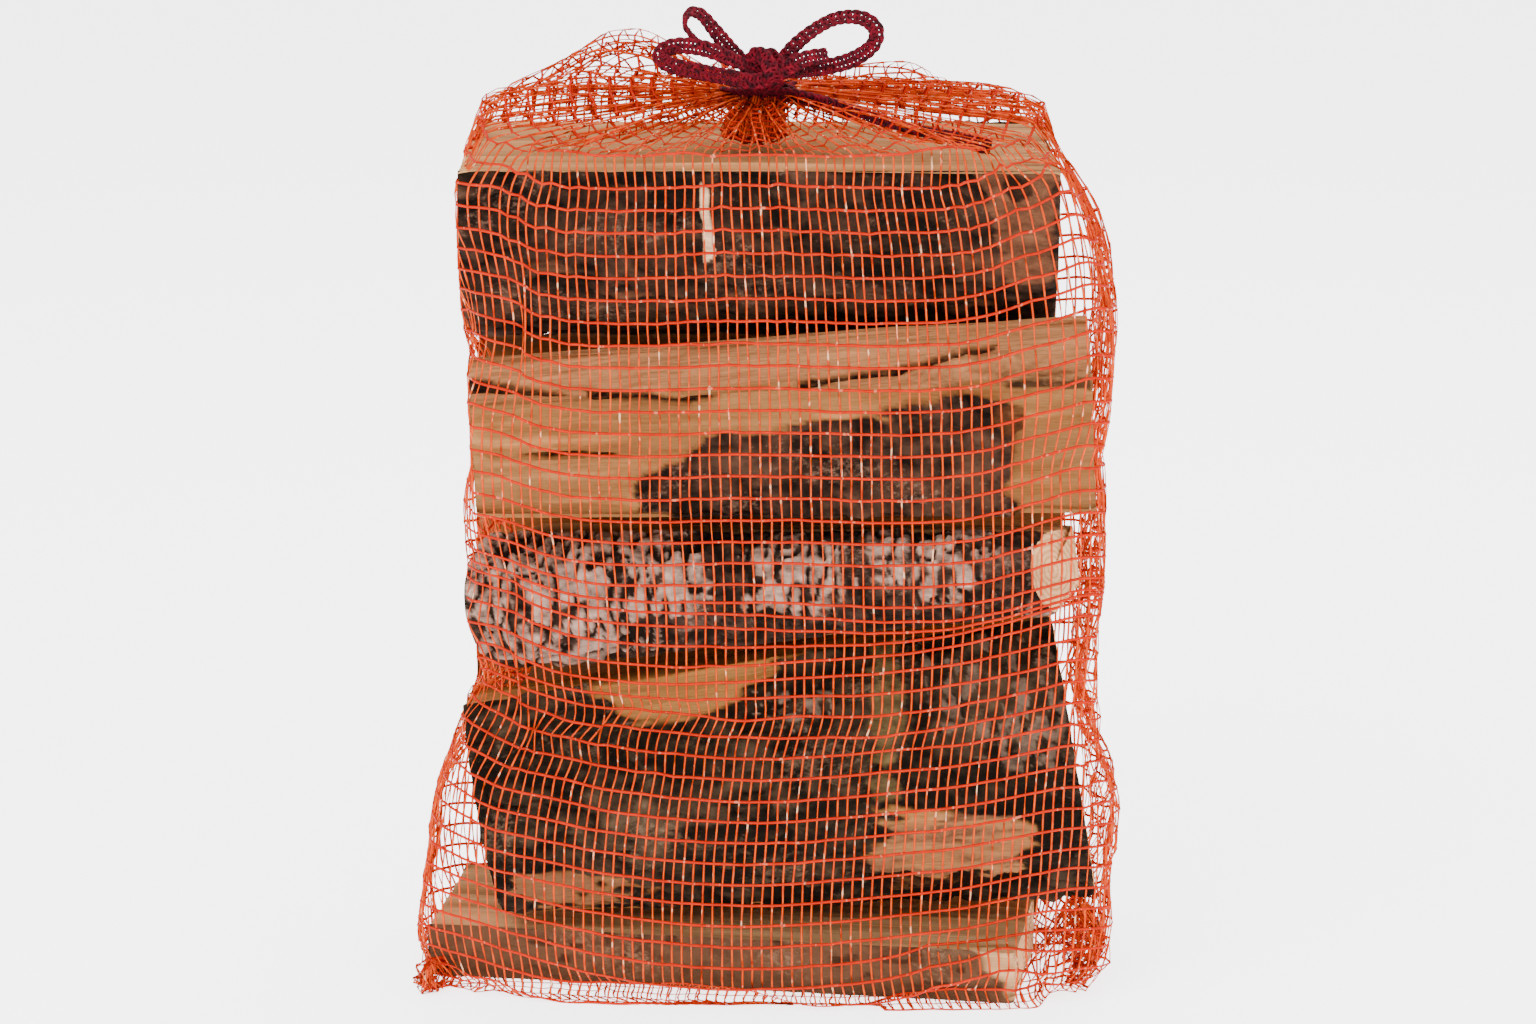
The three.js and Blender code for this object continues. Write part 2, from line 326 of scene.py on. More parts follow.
def sawn_end(rim, rim_index, pith, first, seed):
    """A sawn end inside the log's last ring of corners: c + share (rim - c), c being the pith kept inside the
    rim and laid in its plane, roughened along the log. Gives the new corners, their place in the grain, and
    their quads and triangles, which face back along x."""
    flat = rim[:, 1:]
    centre = np.clip(pith[1:], flat.min(0) + 0.004, flat.max(0) - 0.004)
    slope = np.linalg.lstsq(flat - flat.mean(0), rim[:, 0] - rim[:, 0].mean(), rcond=None)[0]
    centre = np.r_[rim[:, 0].mean() + slope @ (centre - flat.mean(0)), centre]
    shares = np.array([0.985, 0.94, 0.86, 0.76, 0.64, 0.5, 0.36, 0.22, 0.1])
    rings = centre + shares[:, None, None] * (rim - centre)
    grain = np.vstack([(rings - pith).reshape(-1, 3), [centre - pith]])
    rings[..., 0] += 0.0006 * fractal(rings / 0.006, seed, 3)
    corners = np.vstack([rings.reshape(-1, 3), [centre]])
    grain[:, 0] = corners[:, 0]
    chain = np.vstack([[rim_index], first + np.arange(rings[..., 0].size).reshape(rings.shape[:2])])
    after = np.roll(chain, -1, axis=1)
    quads = np.stack([chain[:-1], chain[1:], after[1:], after[:-1]], axis=-1).reshape(-1, 4)
    tip = np.full(len(rim), first + len(corners) - 1)
    return corners, grain, quads, np.stack([chain[-1], tip, after[-1]], axis=-1)


def make_log(name, node, material, pith, seed, relief, marks, spacing=FRONT_SPACING):
    """A log: its skin moved inwards by relief(...) and closed by two sawn ends, with the attributes its
    material reads: grain (place in the log), bark, cut (sawn ends), deep (how far in, which the material
    darkens as painted shade) and the marks."""
    skin, out, bark, centres = log_surface(node, pith, spacing)
    grain = skin - centres
    grain[..., 0] = skin[..., 0]
    fields = marks(skin, grain, bark, out)
    depth = relief(grain, fields, seed)
    fields["deep"] = depth / DEEPEST
    near_end = np.minimum(np.arange(len(skin)), np.arange(len(skin))[::-1])[:, None] * spacing
    worn = 0.0012 * np.exp(-near_end / 0.0015)
    points = skin - out * (depth + worn)[..., None]
    rows, count = skin.shape[:2]
    index = np.arange(rows * count).reshape(rows, count)
    after = np.roll(index, -1, axis=1)
    walls = np.stack([index[:-1], after[:-1], after[1:], index[1:]], axis=-1).reshape(-1, 4)
    first = rows * count
    low = sawn_end(points[0], index[0], centres[0, 0], first, seed + 31)
    high = sawn_end(points[-1], index[-1], centres[-1, 0], first + len(low[0]), seed + 32)
    quads = np.vstack([walls, low[2], high[2][:, ::-1]])
    triangles = np.vstack([low[3], high[3][:, ::-1]])
    corners = np.vstack([points.reshape(-1, 3), low[0], high[0]])
    piece = make_mesh(name, [(corners, [quads, triangles])], material)
    mesh = piece.data
    places = np.vstack([grain.reshape(-1, 3), low[1], high[1]]).astype(np.float32)
    mesh.attributes.new("grain", "FLOAT_VECTOR", "POINT").data.foreach_set("vector", places.ravel())
    on_ends = np.zeros(len(places) - first)
    levels = {key: np.broadcast_to(value, (rows, count)).ravel() for key, value in fields.items()}
    levels = {key: np.r_[value, on_ends] for key, value in levels.items()}
    levels["cut"] = np.r_[np.zeros(first), on_ends + 1]
    for key, level in levels.items():
        mesh.attributes.new(key, "FLOAT", "POINT").data.foreach_set("value", level.astype(np.float32))
    mesh.set_sharp_from_angle(angle=np.radians(60))
    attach(piece, "root")
    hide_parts(node)


def new_group(name, inputs):
    """A shader node group with inputs given as {name: kind of socket}, that puts out a colour and a height:
    the group, its putter, its inputs, and a function that links its outputs."""
    group = bpy.data.node_groups.new(name, "ShaderNodeTree")
    for key, kind in inputs.items():
        group.interface.new_socket(key, in_out="INPUT", socket_type="NodeSocket" + kind)
    group.interface.new_socket("Color", in_out="OUTPUT", socket_type="NodeSocketColor")
    group.interface.new_socket("Height", in_out="OUTPUT", socket_type="NodeSocketFloat")
    start, end = group.nodes.new("NodeGroupInput"), group.nodes.new("NodeGroupOutput")

    def give(colour, height):
        group.links.new(colour, end.inputs["Color"])
        group.links.new(height, end.inputs["Height"])

    return group, node_putter(group), start.outputs, give


def mixed(put, share, a, b):
    """Colour a turned into b by share."""
    a, b = (colour if isinstance(colour, bpy.types.NodeSocket) else (*colour, 1) for colour in (a, b))
    return put("Mix", {0: share, 6: a, 7: b}, data_type="RGBA").outputs[2]


def times(put, vector, by):
    """A colour or place multiplied by another."""
    return put("VectorMath", {0: vector, 1: by}, operation="MULTIPLY").outputs[0]


def math(put, operation, a, b=0.0):
    """One sum of two values or sockets."""
    return put("Math", {0: a, 1: b}, operation=operation).outputs[0]


def weighed(put, a, a_weight, b, b_weight):
    """Two values added by their weights."""
    return math(put, "ADD", math(put, "MULTIPLY", a, a_weight), math(put, "MULTIPLY", b, b_weight))


def graded(put, value, low, high, at_low=0.0, at_high=1.0):
    """From at_low to at_high as the value goes from low to high, and level beyond."""
    sockets = {"Value": value, "From Min": low, "From Max": high, "To Min": at_low, "To Max": at_high}
    return put("MapRange", sockets).outputs["Result"]


def stretched(put, vector, scale, detail=4.0, roughness=0.55, distortion=0.0):
    """Noise whose cells measure 1 / scale along each axis."""
    sockets = {"Scale": 1.0, "Detail": detail, "Roughness": roughness, "Distortion": distortion}
    return put("TexNoise", {"Vector": times(put, vector, scale), **sockets}).outputs["Fac"]


bark_inputs = {"Grain": "Vector", "Deep": "Float", "Dark": "Color", "Light": "Color", "Fleck": "Color"}
bark_group, put, given, give = new_group("Bark", bark_inputs)
cork = stretched(put, given["Grain"], (90, 150, 150), 7.0, 0.62, 0.4)
broad = stretched(put, given["Grain"], (14, 26, 26), 3.0)
# The Deep term darkens the bark where its skin lies deep: painted shade in the furrows.
tone = math(put, "SUBTRACT", weighed(put, cork, 0.9, broad, 0.55), math(put, "MULTIPLY", given["Deep"], 0.34))
cork_colour = mixed(put, graded(put, tone, 0.27, 0.74), given["Dark"], given["Light"])
flecks = stretched(put, given["Grain"], (240, 330, 330), 5.0, 0.7)
fleck_patch = stretched(put, given["Grain"], (20, 34, 34), 2.0)
fleck_share = graded(put, math(put, "MULTIPLY", flecks, fleck_patch), 0.31, 0.42, 0.0, 0.8)
crumbs = stretched(put, given["Grain"], (500, 700, 700), 6.0, 0.7)
give(mixed(put, fleck_share, cork_colour, given["Fleck"]), weighed(put, cork, 0.8, crumbs, 0.35))

split_inputs = {"Grain": "Vector", "Pale": "Color", "Streak": "Color", "Weather": "Float"}
split_group, put, given, give = new_group("Split wood", split_inputs)
fibres = stretched(put, given["Grain"], (9, 900, 900), 5.0, 0.6)
bands = stretched(put, given["Grain"], (4, 110, 110), 4.0, 0.55, 0.3)
streaky = graded(put, weighed(put, bands, 0.6, fibres, 0.4), 0.36, 0.68)
cloudy = graded(put, stretched(put, given["Grain"], (10, 30, 30), 3.0), 0.3, 0.7, 0.78, 1.12)
wood = times(put, mixed(put, streaky, given["Streak"], given["Pale"]), cloudy)
grey = graded(put, stretched(put, given["Grain"], (6, 60, 60), 5.0), 0.42, 0.66)
wood = mixed(put, math(put, "MULTIPLY", grey, given["Weather"]), wood, (0.17, 0.085, 0.045))
give(wood, weighed(put, fibres, 0.7, bands, 0.5))

end_inputs = {"Grain": "Vector", "Pale": "Color", "Ring": "Color"}
end_group, put, given, give = new_group("Sawn end", end_inputs)
ring_gap = 0.0031
parts = put("SeparateXYZ", {0: given["Grain"]}).outputs
flat = put("CombineXYZ", {1: parts["Y"], 2: parts["Z"]}).outputs[0]
wander = graded(put, stretched(put, flat, (1, 28, 28), 3.0), 0.0, 1.0, -0.004, 0.004)
radius = math(put, "ADD", put("VectorMath", {0: flat}, operation="LENGTH").outputs["Value"], wander)
ring_wave = math(put, "SINE", math(put, "MULTIPLY", radius, 2 * np.pi / ring_gap))
end_colour = mixed(put, graded(put, ring_wave, -0.3, 0.9), given["Pale"], given["Ring"])
angle = math(put, "ARCTAN2", parts["Z"], parts["Y"])
spokes = put("CombineXYZ", {0: math(put, "MULTIPLY", angle, 9.0), 1: math(put, "MULTIPLY", radius, 12.0)})
check = graded(put, stretched(put, spokes.outputs[0], (1, 1, 1), 4.0, 0.6), 0.66, 0.72, 0.0, 0.8)
saw = stretched(put, given["Grain"], (1, 70, 700), 3.0)
stain = graded(put, stretched(put, given["Grain"], (1, 34, 34), 4.0), 0.35, 0.75, 1.08, 0.62)
# The radial checks are painted near-black: painted shade in the cracks.
end_colour = times(put, mixed(put, check, end_colour, (0.05, 0.02, 0.008)), stain)
give(end_colour, math(put, "SUBTRACT", math(put, "MULTIPLY", saw, 0.8), check))


def log_material(name, bark_colours, wood_colours, layers):
    """A log's finish: bark, split wood and sawn ends mixed by the log's attributes. bark_colours are dark,
    light and fleck; wood_colours are pale and streak, and the share of grey. Each layer, (attribute, colour),
    lies over the bark and wood where its attribute is 1, with a ragged edge."""
    put, finish = new_material(name)

    def attribute(key, socket="Fac"):
        return put("Attribute", attribute_name=key).outputs[socket]

    grain = attribute("grain", "Vector")
    deep = attribute("deep")
    is_bark = attribute("bark")
    is_cut = attribute("cut")
    dark, light, fleck = ((*colour, 1) for colour in bark_colours)
    pale, streak = ((*colour, 1) for colour in wood_colours[:2])
    bark_sockets = {"Grain": grain, "Deep": deep, "Dark": dark, "Light": light, "Fleck": fleck}
    bark = put("Group", bark_sockets, node_tree=bark_group).outputs
    split_sockets = {"Grain": grain, "Pale": pale, "Streak": streak, "Weather": wood_colours[2]}
    split = put("Group", split_sockets, node_tree=split_group).outputs
    end = put("Group", {"Grain": grain, "Pale": pale, "Ring": streak}, node_tree=end_group).outputs
    colour = mixed(put, is_bark, split["Color"], bark["Color"])
    # Darker by how deep the skin lies: painted shade in furrows, cracks and hollows.
    colour = times(put, colour, graded(put, deep, 0.3, 1.2, 1.0, 0.35))
    uneven = stretched(put, grain, (90, 200, 200), 6.0, 0.68)
    height = put("Mix", {0: is_bark, 2: split["Height"], 3: bark["Height"]}).outputs[0]
    tone = graded(put, height, 0.4, 0.75, 0.55, 1.3)
    for key, layer in layers:
        blotch = math(put, "ADD", attribute(key), math(put, "MULTIPLY", uneven, 1.1))
        colour = mixed(put, graded(put, blotch, 0.85, 1.6), colour, times(put, layer, tone))
    colour = mixed(put, is_cut, colour, end["Color"])
    height = put("Mix", {0: is_cut, 2: height, 3: end["Height"]}).outputs[0]
    bump = put("Bump", {"Height": height, "Strength": 0.9, "Distance": BUMP_DEPTH}).outputs["Normal"]
    skin = {"Base Color": colour, "Normal": bump, "Roughness": 0.82, "Specular IOR Level": 0.06}
    return finish(put("BsdfPrincipled", skin))


def patch(skin, out, outline, soft=3.0, ragged=5.0, seed=1):
    """1 inside an outline given on the log's front in millimetres (x, z), and 0 outside: a smooth step of the
    distance to its nearest edge, made ragged by noise drawn out along the log."""
    x, z = skin[..., 0] * 1000, skin[..., 2] * 1000
    nearest, inside = np.full(x.shape, 1e9), np.zeros(x.shape, bool)
    for (x0, z0), (x1, z1) in zip(outline, outline[1:] + outline[:1]):
        t = np.clip(((x - x0) * (x1 - x0) + (z - z0) * (z1 - z0)) / ((x1 - x0) ** 2 + (z1 - z0) ** 2), 0, 1)
        nearest = np.minimum(nearest, np.hypot(x - x0 - t * (x1 - x0), z - z0 - t * (z1 - z0)))
        inside ^= ((z0 > z) != (z1 > z)) & (x < (x1 - x0) * (z - z0) / (z1 - z0 + 1e-9) + x0)
    frayed = ragged * fractal(skin / [0.022, 0.007, 0.007], seed + 300, 3)
    within = np.where(inside, nearest, -nearest) + frayed
    return smoothstep(-soft, soft, within) * smoothstep(0.45, 0.1, out[..., 1])


def ragged_bark(grain, bark, seed):
    """The bark's own share with its edge broken by noise."""
    frayed = bark + 0.28 * fractal(grain / [0.02, 0.006, 0.006], seed + 70, 3)
    return smoothstep(0.35, 0.65, frayed) * (bark > 0.02)


def bark_on_wood(share, bark, wood, thickness):
    """The bark's relief by its share, and the wood's elsewhere, which lies a bark's thickness lower."""
    return bark * share + (1 - share) * (wood + thickness)


def usual_relief(grain, fields, seed):
    """Bark furrows where there is bark and split fibres elsewhere."""
    return bark_on_wood(fields["bark"], rough_bark(grain, seed), split_grain(grain, seed + 20), 0.0012)


def top_marks(skin, grain, bark, out):
    """A white torn sliver, a paler worn end on the right with a knot in it, and reddish worn places."""
    sliver = [(-31, 432), (-27, 430), (-23, 392), (-29, 388), (-30, 412)]
    worn_end = [(113, 438), (149, 439), (148, 378), (125, 376), (118, 404)]
    knot = [(124, 436), (135, 434), (137, 425), (127, 421), (121, 429)]
    worn = smoothstep(0.35, 0.9, fractal(grain / [0.035, 0.02, 0.02], 12, 3)) * bark
    return {
        "bark": ragged_bark(grain, bark, 1),
        "sliver": patch(skin, out, sliver, 0.6, 0.5),
        "worn": np.maximum(0.55 * worn, 0.75 * patch(skin, out, worn_end)),
        "knot": patch(skin, out, knot, 1.0, 1.0),
    }


dark_bark = ((0.009, 0.0045, 0.0026), (0.066, 0.031, 0.018), (0.19, 0.105, 0.067))
fresh_wood = ((0.86, 0.46, 0.20), (0.62, 0.27, 0.085), 0.1)
top_finish = log_material(
    "dark bark and fresh wood",
    dark_bark,
    fresh_wood,
    [("worn", (0.15, 0.058, 0.028)), ("knot", (0.014, 0.006, 0.003)), ("sliver", (0.75, 0.46, 0.26))],
)
top_pith = (0.5, 0.87)
make_log("top_log", "log_top_half_round", top_finish, top_pith, 1, usual_relief, top_marks)

# Second log: split all round from a thicker trunk and gone tan and grey in the weather, with long drying
# cracks. A thick patch of bark is left on the lower right of its front, and a strip of it near the top.


def second_marks(skin, grain, bark, out):
    """Bark on the front in a patch and a strip, cracks along the grain, a knot, and grey on the top edge."""
    lower = [(-64, 279), (-31, 295), (20, 307), (70, 315), (100, 324), (126, 321), (129, 301), (126, 280),
             (133, 252), (70, 246), (-1, 246), (-41, 250), (-60, 262)]
    strip = [(60, 336), (100, 345), (140, 347), (166, 338), (166, 328), (125, 329), (90, 330)]
    cracks = [
        [(-158, 336), (-131, 332), (-96, 327), (-60, 325), (-131, 326), (-158, 328)],
        [(-90, 331), (-61, 329), (-20, 322), (-36, 316), (-71, 320), (-88, 326)],
        [(20, 334), (70, 341), (120, 352), (118, 349), (72, 338), (20, 331)],
        [(-140, 289), (-90, 292), (-64, 290), (-90, 290)],
    ]
    knot = [(120, 318), (132, 316), (134, 305), (124, 302), (117, 310)]
    tilted_height = skin[..., 2] - 0.045 * skin[..., 0] + 0.006 * fractal(grain / [0.08, 0.01, 0.01], 8)
    return {
        "bark": np.maximum(patch(skin, out, lower, 1.2, 5.0, 2), 0.9 * patch(skin, out, strip, 1.0, 5.0, 4)),
        "crack": sum(patch(skin, out, line, 0.9, 1.2, 5 + i) for i, line in enumerate(cracks)).clip(0, 1),
        "grey": smoothstep(0.318, 0.336, tilted_height),
        "knot": patch(skin, out, knot, 1.0, 1.5, 9),
    }


def second_relief(grain, fields, seed):
    """Deep split fibres, sunk further along the cracks, with the bark standing above the wood."""
    wood = split_grain(grain, seed + 20, 0.0016) + 0.0045 * fields["crack"]
    return bark_on_wood(fields["bark"], 0.8 * rough_bark(grain, seed, 0.011, 0.0026), wood, 0.0022)


weathered = log_material(
    "weathered split wood",
    dark_bark,
    ((0.88, 0.42, 0.145), (0.50, 0.185, 0.048), 0.25),
    # The near-black along the cracks is painted shade; the cracks themselves are sunk into the wood.
    [("grey", (0.31, 0.132, 0.052)), ("crack", (0.010, 0.004, 0.002)), ("knot", (0.06, 0.02, 0.007))],
)
second_pith = (1.3, 0.35)
make_log("second_log", "log_second_front", weathered, second_pith, 2, second_relief, second_marks)

# Third log: a slim birch split off on two sides, its bark peeling in pale scales over dark cork. The saw cut
# it on a slant, so its right end faces forward.


def birch_marks(skin, grain, bark, out):
    """Pale scales, thick in three stretches of the front and thin elsewhere, with dark gaps between them."""
    pale = [
        [(-150, 251), (-111, 254), (-71, 250), (-31, 244), (-26, 216), (-61, 195), (-81, 174), (-140, 172),
         (-150, 205)],
        [(-8, 240), (37, 245), (48, 226), (20, 211), (-5, 215)],
        [(52, 243), (87, 252), (124, 245), (104, 222), (58, 220)],
    ]
    thick = np.maximum.reduce([patch(skin, out, line, 3.0, 9.0, 20 + i) for i, line in enumerate(pale)])
    warp = 0.35 * fractal(grain / 0.014, 33, 2)[..., None]
    cells = np.abs(noise(grain / [0.0044, 0.014, 0.014] + warp, 34))
    scales = smoothstep(0.06, 0.30, cells)
    loose = smoothstep(0.0, 0.6, fractal(grain / [0.02, 0.03, 0.03], 36, 3))
    white = np.clip(thick * (0.2 + 0.8 * scales) + 0.7 * loose * scales * (1 - thick), 0, 1)
    white = white * (0.75 + 0.35 * fractal(grain / 0.0035, 37, 2))
    return {"bark": ragged_bark(grain, bark, 4), "white": white * bark, "scales": scales}


def birch_relief(grain, fields, seed):
    """Thin scales with their edges lifted, over corky bark."""
    bark = 0.0022 * (1 - fields["white"]) + 0.0012 * (1 - fields["scales"])
    bark = bark + 0.5 * rough_bark(grain, seed, 0.009, 0.0022)
    return bark_on_wood(fields["bark"], bark, split_grain(grain, seed + 20), 0.0015)


birch = log_material(
    "birch bark and pale wood",
    ((0.022, 0.012, 0.008), (0.135, 0.075, 0.052), (0.30, 0.18, 0.13)),
    ((0.80, 0.46, 0.22), (0.60, 0.28, 0.11), 0.0),
    [("white", (0.44, 0.285, 0.215))],
)
birch_pith = (0.46, 0.5)
birch_spacing = 0.0015
make_log(
    "birch_log",
    "log_third_front_birch",
    birch,
    birch_pith,
    4,
    birch_relief,
    birch_marks,
    birch_spacing,
)

# Fourth log: the thickest piece, nearly half a trunk, with corky bark all over its front. The axe took the
# bark off its top edge, and more has been torn and rubbed away low down.


def large_marks(skin, grain, bark, out):
    """Bare orange wood on the top edge, rubbed and torn places low down, a painted shadow under the torn
    bark's lip, lichen scales and a mossy stripe.
    """
    orange = [(-97, 182), (-66, 201), (-11, 212), (40, 222), (38, 198), (6, 178), (-14, 162), (-38, 153),
              (-66, 153), (-86, 164)]
    peel = [(62, 98), (125, 103), (147, 92), (128, 63), (70, 57), (59, 75)]
    torn = [(-131, 62), (-101, 72), (-68, 70), (-56, 51), (-96, 36), (-126, 42)]
    lip = [(55, 66), (128, 60), (160, 66), (128, 52), (62, 50)]
    right = [(72, 193), (108, 200), (163, 172), (162, 120), (120, 128), (85, 167)]
    strip = [(-5, 167), (36, 167), (37, 150), (15, 147), (-4, 156)]
    moss = [(50, 209), (73, 213), (72, 167), (70, 112), (57, 112), (58, 167)]
    dots = smoothstep(0.0, 0.35, noise(grain / 0.0033, 65))
    flakes = smoothstep(0.0, 0.3, fractal(grain / [0.005, 0.010, 0.010], 71, 3))
    streaks = smoothstep(-0.22, 0.16, fractal(grain / [0.045, 0.0045, 0.0045], 72, 3))
    bare = np.maximum(patch(skin, out, orange, 1.2, 5.0, 60), patch(skin, out, peel, 2.5, 12.0, 61) * streaks)
    shreds = smoothstep(-0.3, 0.2, fractal(grain / [0.02, 0.01, 0.01], 66, 3))
    tear = patch(skin, out, torn, 1.5, 10.0, 62) * shreds
    speckles = patch(skin, out, strip, 1.0, 2.5, 64) * dots
    return {
        "bark": ragged_bark(grain, bark, 6) * (1 - bare) * (1 - 0.6 * tear),
        "torn": tear,
        "peel": 0.75 * patch(skin, out, peel, 3.0, 8.0, 61),
        "lip": patch(skin, out, lip, 1.0, 3.5, 68),
        "scale": np.maximum(0.85 * patch(skin, out, right, 8.0, 14.0, 63) * flakes, speckles),
        "moss": 0.75 * patch(skin, out, moss, 3.0, 6.0, 67),
    }


def large_relief(grain, fields, seed):
    """Corky bumps, sunk in the painted shadow under the torn lip and raised in scales, and wood a bark's
    thickness lower.
    """
    bark = rough_bark(grain, seed, 0.017, 0.0028) + 0.0045 * fields["lip"] - 0.0007 * fields["scale"]
    return bark_on_wood(fields["bark"], bark, split_grain(grain, seed + 20), 0.0028)


large_finish = log_material(
    "corky bark with lichen",
    ((0.013, 0.0075, 0.004), (0.066, 0.040, 0.022), (0.16, 0.100, 0.06)),
    ((0.92, 0.44, 0.135), (0.74, 0.27, 0.06), 0.0),
    [
        ("moss", (0.105, 0.070, 0.026)),
        ("scale", (0.14, 0.092, 0.064)),
        ("peel", (0.24, 0.105, 0.048)),
        ("torn", (0.13, 0.058, 0.026)),
        # The near-black strip under the torn lip is a painted shadow.
        ("lip", (0.012, 0.005, 0.0025)),
    ],
)
large_pith = (0.84, 0.5)
large_node = "log_fourth_front_large"
make_log("large_log", large_node, large_finish, large_pith, 6, large_relief, large_marks)

# Bottom log: a low slab split on top and underneath, its front edge covered by thin smooth bark dotted with
# lenticels. Its top is pale where the next log keeps it dry.


def slab_marks(skin, grain, bark, out):
    """Bark on the front and back edges only, with oval lenticels, and darker along its foot."""
    edge = smoothstep(0.62, 0.8, np.abs(out[..., 1]) + 0.1 * fractal(grain / [0.02, 0.01, 0.01], 83))
    dots = smoothstep(0.42, 0.62, noise(grain / [0.008, 0.0045, 0.0045], 84))
    split = patch(skin, out, [(96, 44), (146, 46), (146, 8), (130, 6), (112, 30)], 2.0, 4.0, 85)
    return {
        "bark": edge * (1 - split),
        "lenticel": dots * edge * (1 - split),
        "stain": edge * (1 - split) * smoothstep(0.020, 0.006, skin[..., 2]),
    }


def slab_relief(grain, fields, seed):
    """Nearly smooth bark with raised lenticels, and rough split wood."""
    bark = 0.0010 + 0.0006 * fractal(grain / [0.03, 0.01, 0.01], seed, 4) - 0.0005 * fields["lenticel"]
    return bark_on_wood(fields["bark"], bark, split_grain(grain, seed + 20), 0.0012)


slab_finish = log_material(
    "thin grey-brown bark and pale wood",
    ((0.020, 0.009, 0.005), (0.095, 0.044, 0.022), (0.18, 0.098, 0.055)),
    ((0.85, 0.50, 0.25), (0.62, 0.30, 0.11), 0.2),
    # The bark is painted darker along the slab's foot, in its lowest 20 mm.
    [("lenticel", (0.040, 0.017, 0.008)), ("stain", (0.06, 0.026, 0.012))],
)
slab_pith = (0.5, -0.6)
slab_node = "log_fifth_front_slab"
make_log("bottom_slab", slab_node, slab_finish, slab_pith, 8, slab_relief, slab_marks)

# Back logs: three quarters of a trunk and a half round that fill the back of the bag, bark outwards. Their
# split faces are painted darker than the front logs' wood: painted shade at the back of the stack.

BACK_SPACING = 0.0022
PRESSED = 0.0032


def back_relief(grain, fields, seed):
    """As usual, but with the highest bark plates pressed against the logs above."""
    return usual_relief(grain, fields, seed) - PRESSED * fields["bark"]


def plain_marks(skin, grain, bark, out):
    """Bark with a ragged edge and worn places."""
    worn = smoothstep(0.3, 0.9, fractal(grain / [0.04, 0.02, 0.02], 92, 3)) * bark
    return {"bark": ragged_bark(grain, bark, 9), "worn": 0.8 * worn}


# The wood colours below are the front logs' wood made darker: painted shade deep in the stack.
back_brown = log_material(
    "brown bark and wood painted in shade",
    ((0.014, 0.0065, 0.0035), (0.10, 0.048, 0.026), (0.20, 0.115, 0.07)),
    ((0.38, 0.14, 0.042), (0.22, 0.068, 0.018), 0.8),
    [("worn", (0.16, 0.068, 0.034))],
)
back_dark = log_material(
    "dark bark and wood painted in shade",
    dark_bark,
    ((0.42, 0.155, 0.045), (0.25, 0.08, 0.02), 0.6),
    [("worn", (0.135, 0.058, 0.03))],
)
for name, finish, slot, pith, seed in (
    ("second_back", back_brown, "brown_bark", (0.0, 0.0), 3),
    ("third_back", back_dark, "brown_bark", (0.0, 0.0), 5),
    ("fourth_back", back_dark, "dark_rough_bark", (0.0, 0.5), 7),
    ("fifth_back", back_brown, "brown_bark", (0.0, 1.0), 9),
):
    make_log(name + "_log", "log_" + name, finish, pith, seed, back_relief, plain_marks, BACK_SPACING)

# Net bag: a tube knitted from split orange plastic film, thin upright tapes laid into bold level ones, sewn
# shut along the bottom. It is pulled over the stack, so its slack stands out round the logs' ends, and its
# mouth is gathered in folds to the tie.

WARP_GAP = 0.0051
WEFT_GAP = 0.0114
SLACK = 1.055
STAND_OFF = 0.0012
ROOF_GAP = 0.0016
FIRST_ROW = 0.004
TAPE_REACH = 0.0006
LOWEST = 0.0008
MIDDLE_TAPE = 0.008
BRIDGE = 0.45
DRIFT = 0.0078
CRINKLE = 0.0005
TOP_SPEED = 0.002
DAMPING = 0.9
FRICTION = 0.9
EARLY_LIFT = 0.4
LATE_LIFT = 0.8
SIDE_ROWS = 44
BOTTOM_ROWS = 8
TOP_ROWS = 14
TUFT_ROWS = 4
NECK = np.array([0.0, -0.003, 0.4665])
LOG_NODES = [name for name in sorted(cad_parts) if name.startswith("log_")]


def log_planes(node):
    """The flat faces of a CAD log as rows (n, d), where n.p = d on the face and n points out."""
    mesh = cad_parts[node].data
    normal, centre = np.empty((2, len(mesh.polygons) * 3))
    area = np.empty(len(mesh.polygons))
    mesh.polygons.foreach_get("normal", normal)
    mesh.polygons.foreach_get("center", centre)
    mesh.polygons.foreach_get("area", area)
    normal, centre = normal.reshape(-1, 3)[area > 1e-7], centre.reshape(-1, 3)[area > 1e-7]
    rows = np.c_[normal, (normal * centre).sum(1)]
    return rows[np.unique(np.round(rows * [200, 200, 200, 2000]), axis=0, return_index=True)[1]]


def stack_rings(heights, directions):
    """At each height, the corners where neighbouring tangent lines of the stack meet. A tangent's reach is
    h(a) = max over the logs' skin of (p.d(a) - BRIDGE |z - p_z| beyond one row)."""
    cloud = []
    for node in LOG_NODES:
        left, right = (np.vstack([r, r[:1]]) for r in sawn_ends(node))
        t = np.arange(0, len(left) - 1, 0.125)[:, None]
        k = t.astype(int)[:, 0]
        rings = [(1 - t + k[:, None]) * r[k] + (t - k[:, None]) * r[k + 1] for r in (left, right)]
        u = np.linspace(0, 1, 13)[:, None, None]
        cloud.append(((1 - u) * rings[0] + u * rings[1]).reshape(-1, 3))
    cloud = np.vstack(cloud)
    a = np.arange(directions) * 2 * np.pi / directions
    reach = cloud[:, :2] @ np.stack([np.cos(a), np.sin(a)])
    far = np.abs(cloud[:, 2:] - heights) - WEFT_GAP
    h = np.stack([(reach - BRIDGE * np.maximum(beyond, 0)[:, None]).max(0) for beyond in far.T]) + STAND_OFF
    after, b, turn = np.roll(h, -1, axis=1), np.roll(a, -1), 2 * np.pi / directions
    x = (h * np.sin(b) - after * np.sin(a)) / np.sin(turn)
    y = (after * np.cos(a) - h * np.cos(b)) / np.sin(turn)
    return np.stack([x, y], axis=-1)


